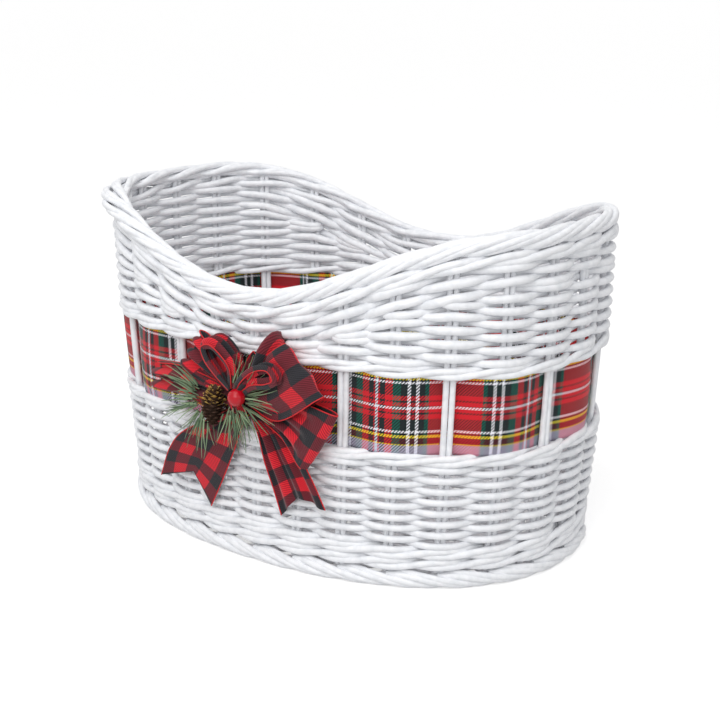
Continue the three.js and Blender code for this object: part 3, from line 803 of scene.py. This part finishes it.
# At one end the strands of the rim lie looser and stand out over the wall.
def rimPoint(stake, outward, rise):
    away = (stake - strands["loosest"] + wall["stakes"] / 2) % wall["stakes"] - wall["stakes"] / 2
    loose = np.exp(-(away / strands["looseSpan"]) ** 2) * np.clip(outward / border["radius"] + 0.45, 0, 1.4)
    return onWall(stake, rimAt(stake) + rise, outward + strands["looseness"] * loose)


def footPoint(stake, outward, rise):
    height = border["radius"] - border["footFlat"] + rise
    points = onWall(stake, height, outward + border["footSpread"])
    points[..., 2] = np.maximum(points[..., 2], strands["radius"] * 1.02)
    return points


def borderPiece(name, pointAt, hand, angles):
    heart = border["radius"] - 2 * strands["radius"] + strands["heartExtra"]
    rods = [(pointAt(np.arange(wall["stakes"] * 10) / 10, 0, strands["heartRise"]), heart, True)]
    for k in range(wall["stakes"]):
        rods += strandPair(k, pointAt, hand, *angles)
    rodPiece(name, rods, [nodeOf(name)])


borderPiece("rimBorder", rimPoint, 1, strands["rim"])
borderPiece("footBorder", footPoint, -1, strands["foot"])
print("borders made")


# The floor: sticks run in from the wall, and pairs of rods weave round over and under them.
floor = {
    "middle": 5.6, "core": 120, "rounds": 13, "pitch": 8.9, "stickRadius": 1.6, "stickApart": 0.055,
    "coreApart": 1.7, "rodRadius": 1.9, "apart": 2.05, "wave": 2.6,
}


def onFloor(stake, share, rise):
    inset = border["radius"] - border["footSpread"] + gap
    edge = onWall(stake, np.full(np.shape(stake), floor["middle"]), -inset)
    centre = np.array([middleX, middleY, floor["middle"]])
    core = centre + (edge - centre) * (floor["core"] / 2 / wall["foot"][0], 0, 0)
    points = core + (edge - core) * np.asarray(share)[..., None]
    points[..., 2] = floor["middle"] + rise
    return points


def wovenFloor():
    rods = []
    for k in range(wall["stakes"]):
        for side in (-1, 1):
            share = np.linspace(-0.01, 1.0, 24)
            place = np.full(len(share), k + side * floor["stickApart"])
            rods.append((onFloor(place, share, 0), floor["stickRadius"], False))
    for first in (0, 1):
        rounds = len(range(first, floor["rounds"], 2))
        s = np.arange(rounds * wall["stakes"] * 8 - 7) / 8
        inRound = (s + 1) % wall["stakes"]
        turn = first + 2 * (np.floor((s + 1) / wall["stakes"]) - 1 + bend(inRound))
        turn = np.where(s < 0.01, first, turn)
        rise = floor["wave"] * np.cos(pi * (s + first))
        for side in (-1, 1):
            share = (turn + 0.5 + side * floor["apart"] / floor["pitch"]) / (floor["rounds"] + 0.5)
            rods.append((onFloor(s, share, rise), floor["rodRadius"], False))
    reach = np.linspace(-floor["core"] / 2, floor["core"] / 2, 30)
    for side in (-1, 1):
        y = middleY + side * floor["coreApart"]
        rods.append(([(middleX + x, y, floor["middle"]) for x in reach], floor["stickRadius"], False))
    rodPiece("wovenFloor", rods, ["base"], sides=8)


wovenFloor()
print("floor made")


# Cloth made as a grid of points with a map in metres, along and across.
thickness = {"tartan": 0.4, "check": 0.35}


def clothPiece(name, grid, across, along, cloth, closed=False):
    rows, columns = grid.shape[:2]
    i, j = (n.ravel() for n in np.indices((rows if closed else rows - 1, columns - 1)))
    corners = ((i, j), (i + 1, j), (i + 1, j + 1), (i, j + 1))
    faces = np.stack([a % rows * columns + b for a, b in corners], -1)
    run = np.append(along[:rows], along[-1] + along[1] - along[0])
    spots = np.stack([np.stack([run[a], across[a % rows, b]], -1) for a, b in corners], 1) * mm
    mesh = newMesh(name, grid.reshape(-1, 3), faces=faces.tolist())
    mesh.uv_layers.new(name="clothMap").data.foreach_set("uv", spots.astype(np.float32).ravel())
    mesh.shade_smooth()
    piece = newPiece(name, mesh, cloth)
    solid = piece.modifiers.new("thickness", "SOLIDIFY")
    solid.thickness = thickness[cloth] * mm
    solid.offset = 0
    return finishPiece(piece, [nodeOf(name)])


# The tartan ribbon: behind the pairs that show, bulging over those between.
def tartanRibbon():
    s = tartan["join"] + np.arange(wall["stakes"] * band["perStake"]) / band["perStake"]
    swing = 0.5 + 0.5 * np.cos(pi * s)
    outward = (-band["behind"] + (band["behind"] + band["bulge"]) * swing ** band["snap"])[:, None]
    v = np.linspace(0, 1, band["columns"])
    height = bandBottom - band["under"] + v * (band["width"] + band["under"] + band["over"])
    edgeTuck = 1 - band["tuck"] * (2 * v - 1) ** 4
    flutter = 0.3 * np.sin(s * 1.7)[:, None] * np.sin(v * 5)
    grid = onWall(s[:, None], height, np.where(outward > 0, outward * edgeTuck, outward) + flutter)
    middleLine = grid[:, band["columns"] // 2]
    along = distances(np.append(middleLine, middleLine[:1], axis=0))
    across = np.broadcast_to(v * band["width"], (len(s), len(v)))
    piece = clothPiece("tartanRibbon", grid, across, along, "tartan", closed=True)


tartanRibbon()


# The bow, in its own frame: u to the right along the wall, v up, w out of the wall.
bow = {
    "stake": 19, "height": 122, "standoff": 7.5, "width": 47, "hem": 0.42,
    "waves": 3, "rows": 72, "columns": 49,
}
bowPlace = bow["stake"], bow["height"]
bowOut = np.append(outOfWall(*bowPlace), 0.0)
bowAxes = np.array([(-bowOut[1], bowOut[0], 0.0), (0.0, 0.0, 1.0), bowOut])
knotFoot = onWall(*bowPlace, bow["standoff"])


def inBow(points):
    return knotFoot + np.asarray(points, float) @ bowAxes


# A smooth way through stations, which are points or pairs of points, in even steps.
def throughStations(stations, count):
    knots = np.array(stations, float)
    knots = knots.reshape(len(knots), -1)
    run = np.append(0, np.cumsum(np.linalg.norm(np.diff(knots, axis=0), axis=1) ** 0.7))
    slopes = np.gradient(knots, run, axis=0)
    t = np.linspace(0, run[-1], count)
    i = np.clip(np.searchsorted(run, t, side="right") - 1, 0, len(run) - 2)
    h = (run[i + 1] - run[i])[:, None]
    x = ((t - run[i]) / h[:, 0])[:, None]
    return ((2 * x**3 - 3 * x**2 + 1) * knots[i] + (x**3 - 2 * x**2 + x) * h * slopes[i]
            + (3 * x**2 - 2 * x**3) * knots[i + 1] + (x**3 - x**2) * h * slopes[i + 1])


# How steep a wave must be for the cloth to keep its width where it is drawn together.
steepness = np.linspace(0, 12, 400)
waveTurn = np.linspace(0, 2 * pi, 200)
stretchOf = np.sqrt(1 + (steepness[:, None] * np.cos(waveTurn)) ** 2).mean(axis=1)


# A strip between two edges, in waves where it is drawn together, with a wired hem on each edge.
def ribbonStrip(name, stations, crown=0.0, notch=0.0, waves=bow["waves"], lean=0.0):
    edges = throughStations(stations, bow["rows"]).reshape(-1, 2, 3)
    c = np.linspace(0, 1, bow["columns"])
    across = edges[:, 1] - edges[:, 0]
    width = np.linalg.norm(across, axis=1)
    middleLine = edges.mean(axis=1)
    along = np.gradient(middleLine, axis=0)
    normal = np.cross(across, along)
    normal /= np.linalg.norm(normal, axis=1, keepdims=True)
    q = np.interp(np.maximum(1, bow["width"] / width), stretchOf, steepness)
    depth = q * width / (2 * pi * waves)
    lift = depth[:, None] * np.sin(2 * pi * waves * (c + lean))
    lift += crown * 4 * c * (1 - c) * np.clip(width / bow["width"], 0, 1)[:, None]
    run = distances(middleLine)
    cut = notch * (1 - np.abs(2 * c - 1)) * ((run / run[-1]) ** 4)[:, None]
    ahead = along / np.linalg.norm(along, axis=1, keepdims=True)
    flat = edges[:, None, 0] + across[:, None] * c[:, None] - ahead[:, None] * cut[..., None]
    grid = inBow(flat + normal[:, None] * lift[..., None])
    measured = np.cumsum(np.linalg.norm(np.diff(grid, axis=1, prepend=grid[:, :1]), axis=2), axis=1)
    measured -= measured[:, -1:] / 2
    piece = clothPiece(name, grid, measured, run, "check")
    edgeRods = [(grid[:, end], bow["hem"], False) for end in (0, -1)]
    hem = rodPiece(name + "Hem", edgeRods, (), "hem", sides=6, lumps=0.0)
    print(name, "length", round(run[-1]))


# A loop goes out to its end and comes back behind itself.
def loopStations(front, depth):
    front = np.array(front, float)
    aim = (front[-1] - front[-2]).mean(axis=0) * (1, 1, 0)
    aim /= np.linalg.norm(aim)
    back = np.array([0, 0, depth])
    tip = front[-1] + aim * depth * 0.45 - back / 2
    shares = np.array([1.0, 1.0, 0.8, 0.6])[:len(front), None, None]
    return np.concatenate([front, tip[None], front[::-1] - back * shares])


loops = {
    "bowLoopLeft": dict(depth=5, waves=2, front=[
        ((-5, 7, 8), (-5, -3, 8)), ((-25, 12, 8.5), (-26, -2, 9)),
        ((-58, 17, 9), (-60, -4, 9)), ((-80, 15, 8), (-81, -4, 8))]),
    "bowLoopBackLeft": dict(depth=5, front=[
        ((-2, 9, 9), (-6, 3, 9)), ((-18, 30, 9), (-34, 8, 9)), ((-38, 44, 8), (-56, 16, 8))]),
    "bowLoopRight": dict(depth=7, waves=2, front=[
        ((4, 9, 11), (7, 1, 11)), ((20, 31, 12), (35, -6, 12)), ((37, 47, 12), (71, 16, 13))]),
    "bowLoopLowerRight": dict(depth=3.5, front=[
        ((5, 3, 6), (5, -6, 6)), ((40, 10, 6), (34, -20, 6)), ((80, 5, 6), (52, -40, 5))]),
    "bowLoopTopRight": dict(depth=9, waves=1, lean=0.75, front=[
        ((1, 9, 12), (9, 7, 12)), ((4, 25, 10), (30, 22, 10)), ((13, 42, 8), (36, 39, 8))]),
}
for name, loop in loops.items():
    ribbonStrip(name, loopStations(loop["front"], loop["depth"]), crown=1.5,
                waves=loop.get("waves", bow["waves"]), lean=loop.get("lean", 0))

# Two loops stand open towards the front: their width runs out of the wall.
openLoops = {
    "bowLoopTopLeft": dict(near=23, far=7, path=[
        (-4, 10), (-13, 20), (-22, 31), (-24, 39), (-17, 42), (-6, 36), (0, 28), (-1, 12)]),
    "bowLoopSmallRight": dict(near=24, far=9, path=[
        (5, 8), (20, 19), (35, 23), (41, 26.5), (37, 32), (25, 30), (11, 19), (4, 10)]),
}
for name, loop in openLoops.items():
    middle, half = (loop["near"] + loop["far"]) / 2, (loop["near"] - loop["far"]) / 2
    spread = half * (1 - 0.7 * np.abs(np.linspace(-1, 1, len(loop["path"]))) ** 3)
    ribbonStrip(name, [
        ((u, v, middle + w), (u + 1, v + 2, middle - w)) for (u, v), w in zip(loop["path"], spread)])

tails = {
    "bowTailLeft": dict(notch=18, edges=[
        ((-5, -3, 5), (3, -5, 5)), ((-32, -19, 5), (-3, -18, 4)), ((-62, -36, 4.5), (-12, -40, 3.5)),
        ((-75, -51, 4), (-23, -63, 3)), ((-86, -75, 2.5), (-36, -88, 2.5))]),
    "bowTailRight": dict(notch=12, edges=[
        ((2, -4, 5), (9, -3, 5)), ((10, -20, 4), (30, -12, 4)), ((17, -42, 4), (46, -28, 4)),
        ((25, -62, 3.5), (60, -48, 3.5)), ((31, -79, 3), (70, -66, 3))]),
}
for name, tail in tails.items():
    ribbonStrip(name, tail["edges"], crown=1.0, notch=tail["notch"])

# The knot is a short tube of the ribbon round the middle, drawn in at its ends.
knot = {
    "left": -7, "right": 6, "centre": (0, 1.0, 9.0), "tall": 8, "deep": 7.5, "folds": 1.2,
    "drawnIn": 3, "rows": 60, "columns": 25, "round": 48, "across": 40,
}


def knotPiece():
    _, up, out = knot["centre"]
    ring = [(up + knot["tall"] * cos(turn), out + knot["deep"] * sin(turn))
            for turn in np.linspace(0, 2 * pi, 13)]
    stations = [((knot["left"], v, w), (knot["right"], v, w)) for v, w in ring]
    edges = throughStations(stations, knot["rows"]).reshape(-1, 2, 3)[:-1]
    c = np.linspace(0, 1, knot["columns"])
    flat = edges[:, None, 0] + (edges[:, 1] - edges[:, 0])[:, None] * c[:, None]
    away = (flat - knot["centre"]) * (0, 1, 1)
    away /= np.linalg.norm(away, axis=-1, keepdims=True)
    lift = knot["folds"] * np.sin(c * 6 * pi) - knot["drawnIn"] * (2 * c - 1) ** 2
    grid = inBow(flat + away * lift[:, None])
    run = np.linspace(0, knot["round"], len(grid))
    across = np.broadcast_to(c * knot["across"], grid.shape[:2])
    clothPiece("bowKnot", grid, across, run, "check", closed=True)


knotPiece()
print("bow made")


# A bent needle on each point, turned along its aim.
def needleTree():
    tree, given = newTree("needles", {
        "Thickness": "Float", "Bend": "Float", "Seed": "Int", "Finish": "Material"})
    blade = addNode(tree, "GeometryNodeMeshCone", {
        "Vertices": 5, "Side Segments": 6, "Radius Top": 0.12, "Radius Bottom": 0.5, "Depth": 1.0})
    x, y, z = addNode(tree, "ShaderNodeSeparateXYZ", {0: addNode(tree, "GeometryNodeInputPosition")}).outputs
    arc = times(tree, times(tree, z, z), given.outputs["Bend"])
    wide, thin = (times(tree, side, given.outputs["Thickness"]) for side in (x, y))
    placed = addNode(tree, "ShaderNodeCombineXYZ", {0: math2(tree, "ADD", wide, arc), 1: thin, 2: z})
    needle = addNode(tree, "GeometryNodeSetPosition", {"Geometry": blade, "Position": placed})
    aim = named(tree, "aim", "FLOAT_VECTOR")
    turn = addNode(tree, "FunctionNodeAlignRotationToVector", {"Vector": aim}, axis="Z")
    roll = addNode(tree, "FunctionNodeRandomValue", {
        "Min": (0, 0, 0), "Max": (0, 0, 6.28), "Seed": given.outputs["Seed"]}, data_type="FLOAT_VECTOR")
    rolled = addNode(tree, "FunctionNodeRotateRotation", {"Rotation": turn, "Rotate By": roll},
                     rotation_space="LOCAL")
    spread = addNode(tree, "GeometryNodeInstanceOnPoints", {
        "Points": given.outputs["Geometry"], "Instance": needle, "Rotation": rolled,
        "Scale": named(tree, "size")})
    return endTree(tree, given, addNode(tree, "GeometryNodeRealizeInstances", {"Geometry": spread}))


needleNodes = needleTree()
needles = {"count": 76, "thickness": 0.055, "bend": 0.16, "seed": 5, "scatter": 1.4, "start": 1.5}
sprigs = {
    "sprigLeft": dict(hub=(-26, -2, 15), fan=(136, 276), length=(15, 28), lean=(-0.08, 0.22)),
    "sprigRight": dict(hub=(-1, 5, 15), fan=(-116, 82), length=(14, 27), lean=(-0.05, 0.25)),
}


def sprigPiece(name, sprig):
    count = needles["count"]
    angle = np.radians(luck.uniform(*sprig["fan"], count))
    length = luck.uniform(*sprig["length"], count)
    lean = luck.uniform(*sprig["lean"], count)
    aims = np.stack([np.cos(angle), np.sin(angle), lean], -1)
    aims /= np.linalg.norm(aims, axis=1, keepdims=True)
    starts = sprig["hub"] + luck.normal(0, needles["scatter"], (count, 3)) + aims * needles["start"]
    source = newMesh(name, inBow(starts + aims * length[:, None] / 2))
    storeOn(source, "aim", "FLOAT_VECTOR", aims @ bowAxes)
    storeOn(source, "size", "FLOAT", length * mm)
    storeOn(source, "shade", "FLOAT", luck.uniform(0, 1, count))
    piece = settle(name, source, needleNodes, {
        "Thickness": needles["thickness"], "Bend": needles["bend"], "Seed": needles["seed"],
        "Finish": finishes["needle"]})
    finishPiece(piece, [nodeOf(name)])


for name, sprig in sprigs.items():
    sprigPiece(name, sprig)

wirePiece("sprigStems", [
    (inBow(throughStations([(-4, -1, 8), (-14, -2, 10), (-26, -1, 12.5)], 16)), 0.9, False),
    (inBow(throughStations([(-2, 3, 9), (-1, 4, 11), (0, 5, 14)], 12)), 0.9, False),
], lumps=0.02)


# Rings of points up an axis, and the faces between them, counted from a first point.
def ringsUp(foot, axis, side, heights, radii, around, first=0):
    turn = 2 * pi * np.arange(around)[:, None] / around
    out = np.cos(turn) * side + np.sin(turn) * np.cross(axis, side)
    points = foot + heights[:, None, None] * np.asarray(axis) + radii[:, None, None] * out
    i, j = (n.ravel() for n in np.indices((len(heights) - 1, around)))
    low, next1 = first + i * around, (j + 1) % around
    faces = np.stack([low + j, low + next1, low + around + next1, low + around + j], -1)
    return points.reshape(-1, 3), faces.tolist()


cone = {
    "top": (-16, 10, 18), "tip": (-18.5, -17, 18), "radius": 8.2, "scales": 92,
    "turn": 2.39996,  # from one scale to the next, so that they lie in spirals
    "size": 0.86, "wide": 0.72, "thick": 0.5, "giltTo": 0.42, "gilt": 0.6, "rings": 12,
    "around": 12,
}
scalePoints = [(-0.5, 0, 0), (0.5, 0, 0), (0.62, 0.55, 0.16), (0.35, 0.95, 0.42), (0, 1.06, 0.55),
               (-0.35, 0.95, 0.42), (-0.62, 0.55, 0.16), (0, 0.5, 0.02), (0, 0.9, 0.62), (0, 0.45, -0.2)]
scaleFaces = [(0, 1, 7), (1, 2, 7), (7, 2, 3, 8), (7, 8, 5, 6), (0, 7, 6), (3, 4, 8), (4, 5, 8),
              (1, 0, 9), (2, 1, 9), (3, 2, 9), (4, 3, 9), (5, 4, 9), (6, 5, 9), (0, 6, 9)]


def pineCone():
    top, tip = np.array(cone["top"], float), np.array(cone["tip"], float)
    length = np.linalg.norm(tip - top)
    axis = (tip - top) / length
    side = np.cross(axis, (0, 0, 1.0))
    side /= np.linalg.norm(side)
    other = np.cross(axis, side)
    points, polygons, tints = [], [], []
    for i in range(cone["scales"]):
        share = (i + 0.5) / cone["scales"]
        angle = i * cone["turn"]
        radius = cone["radius"] * sin(pi * (0.1 + 0.84 * share)) ** 0.75
        out = side * cos(angle) + other * sin(angle)
        root = top + axis * length * share + out * radius * 0.25
        forward = out * 0.92 + axis * (0.5 - 0.9 * (1 - share))
        forward /= np.linalg.norm(forward)
        across = np.cross(axis, out)
        lift = np.cross(across, forward)
        shape = np.array([across * cone["wide"], forward, lift * cone["thick"]]) * radius * cone["size"]
        start = len(points)
        points.extend(root + np.array(scalePoints) @ shape)
        for face in scaleFaces:
            polygons.append([start + j for j in face])
            onTip = max(face) >= 8 and min(face) > 1
            tints.append(int(share < cone["giltTo"] and luck.uniform() < cone["gilt"] and onTip))
    start, around = len(points), cone["around"]
    share = np.linspace(0, 1, cone["rings"] + 1)
    radii = cone["radius"] * 0.5 * np.sin(pi * (0.02 + 0.96 * share)) ** 0.6
    core, faces = ringsUp(top, axis, side, length * share, radii, around, start)
    points.extend(core)
    ends = (range(start, start + around)[::-1], range(len(points) - around, len(points)))
    polygons += faces + [list(end) for end in ends]
    tints += [0] * (len(polygons) - len(tints))
    mesh = newMesh("pineCone", inBow(points), faces=polygons)
    piece = newPiece("pineCone", mesh, "cone", "gilt")
    mesh.polygons.foreach_set("material_index", tints)
    finishPiece(piece, ["pine_cone"])


pineCone()

berry = {"centre": (7.5, 8, 22), "radius": 6.3, "dent": 0.08, "dentSpread": 0.25, "rings": 24, "around": 36}


def berryPiece():
    polar = np.linspace(pi, 0, berry["rings"] + 1)
    dent = 1 - berry["dent"] * np.exp(-((polar - pi) / berry["dentSpread"]) ** 2)
    points, faces = ringsUp(berry["centre"], (0, 0, 1), (1, 0, 0), berry["radius"] * np.cos(polar) * dent,
                            berry["radius"] * np.sin(polar), berry["around"])
    mesh = newMesh("berry", inBow(points), faces=faces)
    poles = bmesh.new()
    poles.from_mesh(mesh)
    bmesh.ops.remove_doubles(poles, verts=poles.verts, dist=0.000001)
    poles.to_mesh(mesh)
    poles.free()
    mesh.shade_smooth()
    finishPiece(newPiece("berryBall", mesh, "berry"), ["berry"])
    wirePiece("berryWire", [(inBow(throughStations([(2, 2, 10), (5, 5, 14), (7.5, 8, 18)], 12)), 0.45, False)])


berryPiece()

# The wire goes round the pair of stakes under the knot.
tie = {"radius": 0.4, "reach": 5.0, "depth": 8, "middle": 5.5, "slant": 0.6, "steps": 48}


def tieWire():
    turn = np.linspace(0, 2 * pi, tie["steps"], endpoint=False)
    out = tie["middle"] - bow["standoff"] + tie["depth"] * np.sin(turn)
    path = np.stack([tie["reach"] * np.cos(turn), tie["slant"] * np.sin(2 * turn), out], -1)
    wirePiece("tieWire", [(inBow(path), tie["radius"], True)], ["tie_wire"])


tieWire()
print("sprigs, cone and berry made")
